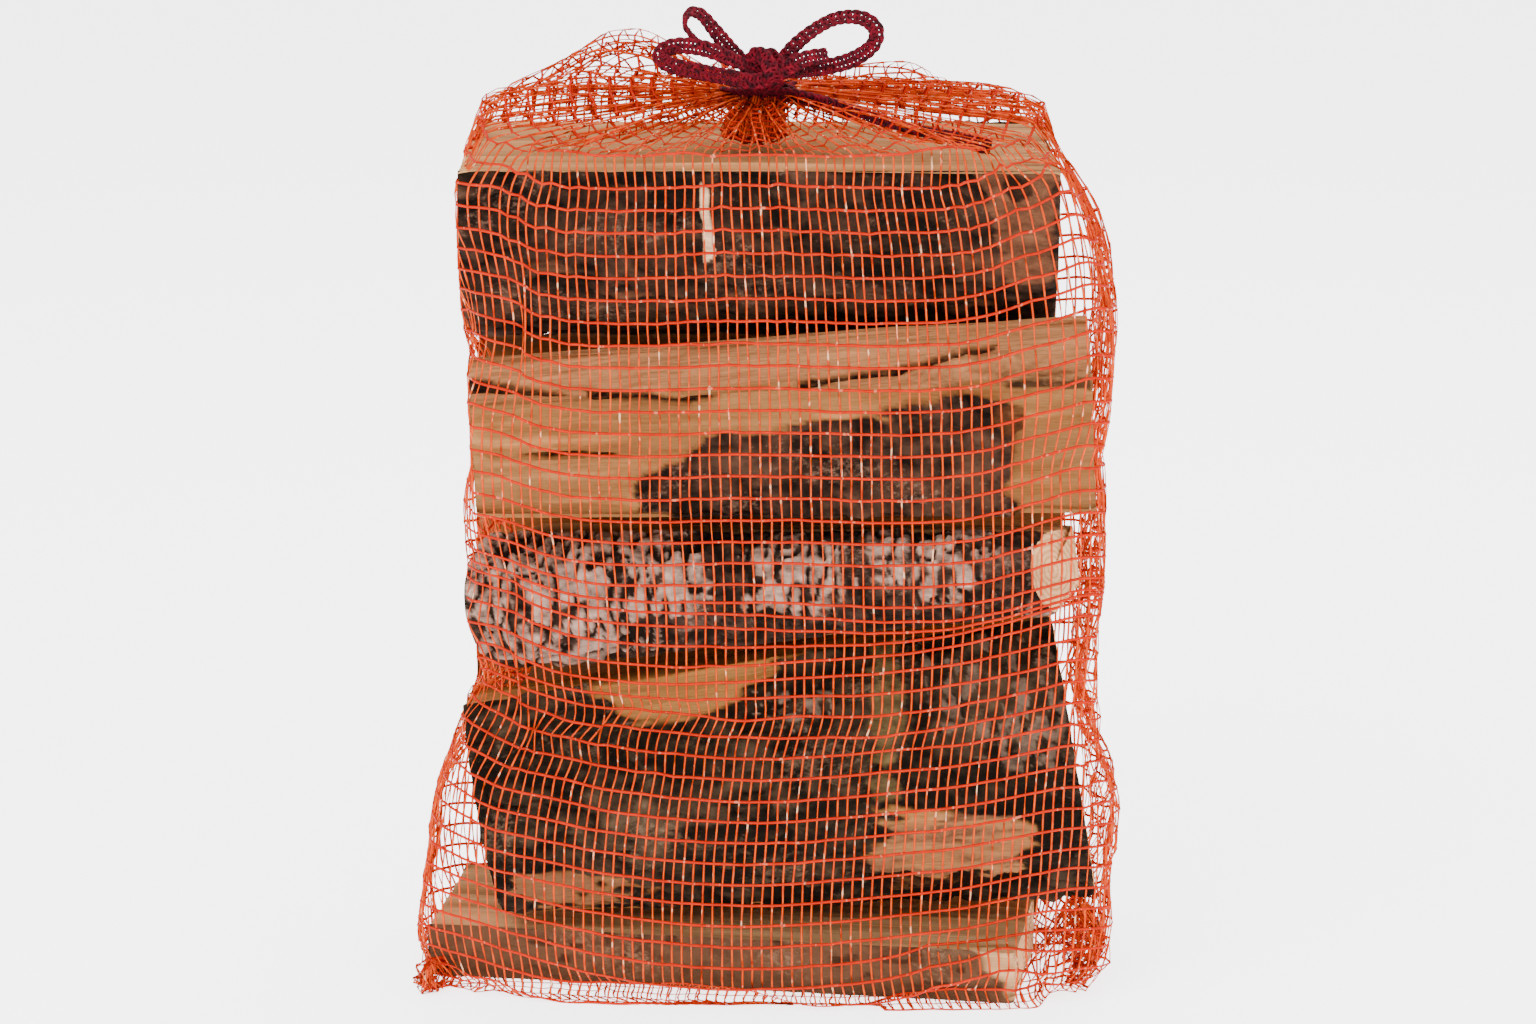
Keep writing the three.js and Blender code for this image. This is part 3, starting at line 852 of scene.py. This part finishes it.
def lay_columns(ring, count, middle, height):
    """Where count warp threads cross one level ring: a gap apart along its front and back from x = middle,
    and the rest spread round its ends, standing off by A (1 - cos) to take up the slack."""
    directions = len(ring)
    order = (np.arange(directions + 1) - directions // 4) % directions
    loop = ring[order]
    along = np.r_[0, np.cumsum(np.linalg.norm(np.diff(loop, axis=0), axis=1))]
    corner = along[[directions // 8, 3 * directions // 8, 5 * directions // 8, 7 * directions // 8]]
    perimeter = along[-1]

    def crossing(low, high):
        line = np.linspace(low, high, 200)
        x = np.interp(line % perimeter, along, loop[:, 0])
        return line[np.argmin(np.abs(x - middle))]

    back = crossing(corner[1], corner[2])
    front = crossing(corner[3] - perimeter, corner[0])
    girth = count * WARP_GAP
    on_net = np.arange(count) * WARP_GAP
    right = (corner[0] - front, girth / 2 - (back - corner[1]))
    left = (girth / 2 + (corner[2] - back), girth - (front - (corner[3] - perimeter)))
    knots_on_net = np.array([0, *right, girth / 2, *left, girth])
    knots_on_loop = np.array([front, corner[0], corner[1], back, corner[2], corner[3], perimeter + front])
    on_loop = np.interp(on_net, knots_on_net, knots_on_loop) % perimeter
    place = np.stack([np.interp(on_loop, along, loop[:, i]) for i in (0, 1)], axis=1)
    ends = ((*right, corner[1] - corner[0], 2.3, 3), (*left, corner[3] - corner[2], 3.4, 8))
    for first, last, span, ruffles, seed in ends:
        share = np.clip((on_net - first) / (last - first), 0, 1)
        slack = max(last - first - span, 0.0)
        waves = ruffles + 0.9 * noise(np.array([height / 0.05, 0.0, 0.0]), seed)
        swing = 2 / (np.pi * waves) * np.sqrt(slack * span)
        shift = 2.0 * noise(np.array([height / 0.07, 5.0, 0.0]), seed)
        stand = 0.55 - 0.45 * np.cos(2 * np.pi * waves * share + shift)
        stand = swing * stand * np.sin(np.pi * share) ** 0.5
        place[:, 0] += np.sign(place[:, 0]) * stand
    return place


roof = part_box("log_top_half_round")[1].z + ROOF_GAP
side_heights = np.linspace(FIRST_ROW, roof, SIDE_ROWS)
rings = stack_rings(side_heights, 72)
perimeters = np.linalg.norm(rings - np.roll(rings, 1, axis=1), axis=-1).sum(1)
columns = 2 * int(0.5 * SLACK * perimeters.max() / WARP_GAP)
side = np.stack([lay_columns(ring, columns, MIDDLE_TAPE, z) for ring, z in zip(rings, side_heights)], axis=1)
top = BOTTOM_ROWS + SIDE_ROWS
rows = top + TOP_ROWS + TUFT_ROWS
net = np.zeros((columns, rows, 3))
net[:, BOTTOM_ROWS:top, :2] = side

# The rows bunch into two creases, one between the second log and the birch, one under the birch, each given
# by its height, its slope along x, its half width and how much it draws the rows in.
height = np.broadcast_to(side_heights, side.shape[:2])
in_front = smoothstep(0.0, -0.04, side[..., 1])
crowd = np.zeros_like(height)
for level, slope, wide, pull in ((0.238, -0.02, 0.028, 0.80), (0.203, 0.13, 0.024, 0.72)):
    away = height - (level + slope * side[..., 0])
    crowd += pull * (0.35 + 0.65 * in_front) * away * np.exp(-((away / wide) ** 2))
net[:, BOTTOM_ROWS:top, 2] = height - crowd

# The seam under the stack, whose ends come up as ears at the front corners.
edge = side[:, 0]
seam = np.stack([np.clip(edge[:, 0], -0.15, 0.15), np.zeros(columns), np.full(columns, LOWEST)], axis=1)
for sign, ear in ((-1, (-0.176, -0.078, 0.018)), (1, (0.164, -0.066, 0.050))):
    pull = smoothstep(0.145, 0.172, sign * edge[:, 0])[:, None]
    seam = (1 - pull) * seam + pull * np.array(ear)
ring_low = np.c_[edge, np.full(columns, 0.0015)]
for j in range(BOTTOM_ROWS):
    share = j / BOTTOM_ROWS
    net[:, j] = seam + (ring_low - seam) * share
    along_row = np.c_[edge / 0.012, np.full(columns, 1.7 * j)]
    crumple = np.stack([noise(along_row, seed) for seed in (61, 62, 63)], axis=1)
    at_end = smoothstep(0.145, 0.172, np.abs(edge[:, 0])) * (1 - share) ** 0.5
    net[:, j] += at_end[:, None] * (0.0045 * crumple + np.array([0, 0, 0.016 * np.sin(np.pi * share)]))

# The roof, drawn in to the neck, and the mouth that hangs over in front of it.
turn = np.arctan2(side[:, -1, 1] - NECK[1], side[:, -1, 0] - NECK[0])
spread = np.linspace(0, 2 * np.pi, columns, endpoint=False) - np.pi / 2
crease = noise(np.stack([np.arange(columns) / 3.1, np.zeros(columns), np.zeros(columns)], axis=1), 5)
neck_radius = 0.0085 + 0.0032 * crease
neck_ring = NECK + np.stack([neck_radius * np.cos(spread), neck_radius * np.sin(spread), 0 * spread], axis=1)
rim = np.c_[side[:, -1], np.full(columns, roof)]
folds = fractal(np.stack([np.arange(columns) / 6.5, np.zeros(columns), np.zeros(columns)], axis=1), 21, 2)
stand = (0.008 + 0.015 * smoothstep(-0.9, 0.2, np.sin(turn))) * (0.75 + 0.6 * np.abs(folds))
tall = 0.026 * np.exp(-(((np.degrees(turn) - 148) / 9) ** 2))
lift = np.zeros((columns, rows, 3))
for j in range(TOP_ROWS):
    share = (j + 1) / TOP_ROWS
    r = 1 - (1 - share) ** (1.25 - 0.25 * np.sin(turn))
    lift[:, top + j, 2] = stand * (1 - np.exp(-r / 0.06)) * (1 - r) ** 0.7 + tall * np.sin(np.pi * r) ** 2
    lift[:, top + j, 0] = np.cos(turn) * 0.010 * np.exp(-r / 0.12)
    net[:, top + j] = rim + (neck_ring - rim) * r[:, None]
net[..., 2] += EARLY_LIFT * lift[..., 2]
for j in range(TUFT_ROWS):
    hang = NECK + np.array([0.002, -0.011 - 0.0045 * j, 0.007 - 0.0085 * j])
    wide = 0.0075 + 0.0022 * j
    loose = 0.0025 * fractal(np.stack([spread * 2.1, 0 * spread + 0.6 * j, 0 * spread], axis=1), 23, 2)
    deep = 0.004 + 0.001 * j
    fan = np.stack([wide * np.cos(spread) + loose, deep * np.sin(spread), 0.003 * crease], axis=1)
    net[:, top + TOP_ROWS + j] = hang + fan
drift = np.stack([fractal(net / 0.10, seed, 2) for seed in (51, 53, 55)], axis=-1)
free = np.ones((columns, rows, 1))
free[:, top + TOP_ROWS - 1 : top + TOP_ROWS + 1] = 0
free[:, 0] = 0
net += DRIFT * drift * free * np.array([1.5, 0.3, 1.15])

# Upright threads stay as bunched as they start in the creases, the roof and the bottom.
warp_rest = WEFT_GAP * np.ones((columns, rows - 1, 1))
crowded = np.clip(1 - np.gradient(crowd, axis=1) / np.gradient(height, axis=1), 0.2, 1)
warp_rest[:, BOTTOM_ROWS : top - 1, 0] *= (crowded[:, 1:] + crowded[:, :-1]) / 2
gathered = np.ones(rows - 1, bool)
gathered[BOTTOM_ROWS : top - 1] = False
laid = np.linalg.norm(np.diff(net, axis=1), axis=2, keepdims=True)
warp_rest[:, gathered] = np.clip(laid, 0.2 * WEFT_GAP, WEFT_GAP)[:, gathered]

# The stiff roof hardly sags. The left end mostly clings to the logs, and the right end and two folds on the
# left stand off them as far as the reach below.
sag = np.zeros((columns, rows, 3))
sag[:, :top, 2] = -0.00003
sag[:, top:, 2] = -0.000003
x, y, z = net[..., 0], net[..., 1], net[..., 2]
left_folds = ((z > 0.244) & (z < 0.288) & (y < 0)) | ((z > 0.03) & (z < 0.135))
clings = (x < -0.135) & (z > 0.135) & (z < 0.435) & ~left_folds
springs = (x > 0.14) & (z > 0.03) & (z < 0.46)
sag[..., 0] = 0.00007 * clings + 0.00005 * springs - 0.00005 * ((x < -0.135) & left_folds)
# How far the right and left sides reach, in millimetres, as (heights, reaches).
RIGHT_REACH = [[0, 20, 60, 80, 92, 108, 135, 200, 250, 300, 430, 450, 480],
               [176, 184, 185, 190, 194, 190, 176, 179, 182, 177, 176, 170, 150]]
LEFT_REACH = [[0, 12, 30, 90, 125, 140, 240, 250, 280, 292, 400, 450, 480],
              [186, 187, 182, 174, 169, 156, 156, 164, 164, 158, 161, 167, 150]]
ruffle = 0.013 * np.abs(noise(np.stack([0 * y, y / 0.017, z / 0.035], axis=-1), 121))
planes = [log_planes(node) for node in LOG_NODES]


def keep_out(points):
    """Points nearer than a thread's half width to a log move out of it: by r - max_k(n_k.p - d_k), along the
    nearest face's n_k. None goes under the floor."""
    touched = np.zeros(len(points), bool)
    for plane in planes:
        gap = points @ plane[:, :3].T - plane[:, 3]
        near = gap.max(1)
        hit = near < TAPE_REACH
        face = gap[hit].argmax(1)
        points[hit] += plane[face, :3] * (TAPE_REACH - near[hit])[:, None]
        touched |= hit
    low = points[:, 2] < LOWEST
    points[low, 2] = LOWEST
    return touched | low


def draw_to(a, b, rest, push, weight_a, weight_b):
    """Moves threads' two ends so that they are rest apart, wholly where stretched and by push where slack."""
    gap = b - a
    size = np.linalg.norm(gap, axis=-1, keepdims=True) + 1e-9
    error = (size - rest) / size
    error = np.where(error > 0, error, push * error)
    total = weight_a + weight_b + 1e-9
    a += gap * error * weight_a / total
    b -= gap * error * weight_b / total


def settle(net, steps):
    """Position-based dynamics: each step carries the net on with damped motion and gravity, draws its threads
    to their lengths, straightens them a little, and keeps them within reach and out of the logs."""
    before = net.copy()
    for step in range(steps):
        speed = np.clip(net - before, -TOP_SPEED, TOP_SPEED)
        before = net.copy()
        net += (DAMPING * speed + sag) * free
        for sweep in range(3):
            wrapped = np.concatenate([net, net[:1]])
            hold = np.concatenate([free, free[:1]])
            for start in (0, 1):
                a, b = wrapped[start:-1:2], wrapped[start + 1 :: 2]
                draw_to(a, b, WARP_GAP, 0.8, hold[start:-1:2], hold[start + 1 :: 2])
                if start == 0:
                    wrapped[-1] = wrapped[0]
            wrapped[0] = wrapped[-1]
            net[:] = wrapped[:-1]
            for start in (0, 1):
                count = (rows - start) // 2 * 2 + start
                a, b = net[:, start:count:2], net[:, start + 1 : count : 2]
                rest = warp_rest[:, start : count - 1 : 2]
                draw_to(a, b, rest, 0.6, free[:, start:count:2], free[:, start + 1 : count : 2])
            middle = (np.roll(net, 1, axis=0) + np.roll(net, -1, axis=0)) / 2 - net
            net += 0.03 * middle * free
            middle = np.zeros_like(net)
            middle[:, 1:-1] = (net[:, 2:] + net[:, :-2]) / 2 - net[:, 1:-1]
            net += 0.02 * middle * free
        height = 1000 * net[..., 2]
        right = np.interp(height, *RIGHT_REACH) / 1000 - ruffle
        left = np.interp(height, *LEFT_REACH) / 1000 - 0.4 * ruffle
        net[..., 0] = np.clip(net[..., 0], -left, right)
        flat = net.reshape(-1, 3)
        touched = keep_out(flat)
        net = flat.reshape(net.shape)
        before += (net - before) * (touched.reshape(columns, rows, 1) * FRICTION)
    return net


net = settle(net, 160)
net += LATE_LIFT * lift
# The loose right side bellies out beside the top log.
beside_top = np.sin(np.pi * np.clip((net[..., 2] - 0.29) / 0.155, 0, 1)) ** 0.7
net[..., 0] += 0.011 * (smoothstep(0.12, 0.155, net[..., 0]) * beside_top)
for axis, seed in enumerate((111, 112, 113)):
    net[..., axis] += CRINKLE * noise(net / 0.009, seed) * free[..., 0]


def threads(lines, closed, across, width, thick, corners, offset):
    """Flat tapes along many lines at once, (lines, steps, 3): a flat loop of corners round each step,
    p + w/2 cos a across + t/2 sin a normal, the normal square to the line and to across."""
    tangent = unit(np.gradient(lines, axis=1))
    if closed:
        tangent = unit(np.roll(lines, -1, axis=1) - np.roll(lines, 1, axis=1))
    normal = unit(np.cross(tangent, across))
    across = np.cross(normal, tangent)
    a = np.arange(corners) * 2 * np.pi / corners + (np.pi if corners == 4 else np.pi / 6)
    ring = (lines + offset * normal)[:, :, None] + 0.5 * (
        width * np.cos(a)[:, None] * across[:, :, None] + thick * np.sin(a)[:, None] * normal[:, :, None]
    )
    count, steps = lines.shape[:2]
    index = np.arange(count * steps * corners).reshape(count, steps, corners)
    after = np.roll(index, -1, axis=1) if closed else index[:, 1:]
    here = index if closed else index[:, :-1]
    faces = np.stack([here, np.roll(here, -1, axis=2), np.roll(after, -1, axis=2), after], axis=-1)
    faces = faces.reshape(-1, 4)
    if closed:
        return ring.reshape(-1, 3), [faces]
    caps = [index[:, 0], index[:, -1][:, ::-1]]
    return ring.reshape(-1, 3), [faces, np.vstack(caps)]


def net_material(name, deep, light, glint, gloss):
    """Stretched orange film: slightly see-through, with paler and deeper lengths, and a broken shine
    painted into the colour as short whitish dashes (painted glints)."""
    put, finish = new_material(name)
    where = put("TexCoord").outputs["Object"]
    colour = ramp(put, stretched(put, where, (150, 150, 150), 3.0), (0.3, deep), (0.7, light))
    # Short whitish dashes mixed into the base colour: painted glints.
    painted_glint = graded(put, stretched(put, where, (330, 330, 120), 2.0), 0.64, 0.70, 0.0, glint)
    colour = mixed(put, painted_glint, colour, (0.95, 0.56, 0.32))
    film = put("BsdfPrincipled", {"Base Color": colour, "Roughness": gloss, "Specular IOR Level": 0.06})
    through = put("BsdfTranslucent", {"Color": colour})
    return finish(put("MixShader", {0: 0.42, 1: film.outputs[0], 2: through.outputs[0]}))


level_film = net_material("level tape film", (0.46, 0.012, 0.0002), (0.64, 0.024, 0.0004), 0.3, 0.5)
upright_film = net_material("upright tape film", (0.56, 0.028, 0.0005), (0.82, 0.11, 0.006), 1.0, 0.45)
warp_direction = unit(np.gradient(net, axis=1))
weft_lines = np.swapaxes(net, 0, 1)
weft_across = np.swapaxes(warp_direction, 0, 1)
level_threads = threads(weft_lines, True, weft_across, 0.00145, 0.0005, 4, 0.0003)
weft_tapes = make_mesh("net_bag_level_tapes", [level_threads], level_film)
fine = np.arange(0, rows - 1 + 1e-6, 0.5)
k = np.minimum(fine.astype(int), rows - 2)
t = (fine - k)[None, :, None]
padded = np.concatenate([2 * net[:, :1] - net[:, 1:2], net, 2 * net[:, -1:] - net[:, -2:-1]], axis=1)
warp_lines = cubic(padded[:, k], padded[:, k + 1], padded[:, k + 2], padded[:, k + 3], t)
weft_direction = unit(np.roll(warp_lines, -1, axis=0) - np.roll(warp_lines, 1, axis=0))
warp_tangent = unit(np.gradient(warp_lines, axis=1))
twist = 1.3 * fractal(warp_lines / [0.004, 0.004, 0.016], 91, 2)[..., None]
warp_across = np.cos(twist) * weft_direction + np.sin(twist) * np.cross(warp_tangent, weft_direction)
upright_threads = threads(warp_lines, False, warp_across, 0.0013, 0.00055, 3, 0.0)
warp_tapes = make_mesh("net_bag_upright_tapes", [upright_threads], upright_film)
for piece in (weft_tapes, warp_tapes):
    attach(piece, "root")
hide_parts("net_bag")

# Floor and light: a pale floor that glows a little, under a soft lamp on the left, a weaker one on the right
# and one behind the bundle.

floor_half = 6.0
put, finish = new_material("pale floor")
glow = {"Emission Color": (1, 1, 1, 1), "Emission Strength": 3.0}
white = finish(put("BsdfPrincipled", {"Base Color": (0.9, 0.9, 0.9, 1), "Roughness": 0.9, **glow}))
floor_corners = floor_half * np.array([[-1, -1, 0], [1, -1, 0], [1, 1, 0], [-1, 1, 0]], float)
floor = make_mesh("floor", [(floor_corners, [np.array([[0, 1, 2, 3]])])], white)
world = bpy.data.worlds.new("studio")
world.use_nodes = True
sky = world.node_tree.nodes["Background"].inputs
sky["Color"].default_value = (1, 1, 1, 1)
sky["Strength"].default_value = 1.6
bpy.context.scene.world = world
for name, place, power in (
    ("key", (-1.2, -1.8, 2.2), 90),
    ("fill", (1.8, -1.6, 1.2), 28),
    ("top", (0.3, 1.0, 2.4), 50),
):
    lamp = bpy.data.lights.new(name, "AREA")
    lamp.size = 1.6
    lamp.energy = power
    light = bpy.data.objects.new(name, lamp)
    light.location = place
    light.rotation_euler = (Vector((0, 0, 0.24)) - Vector(place)).to_track_quat("-Z", "Y").to_euler()
    bpy.context.scene.collection.objects.link(light)
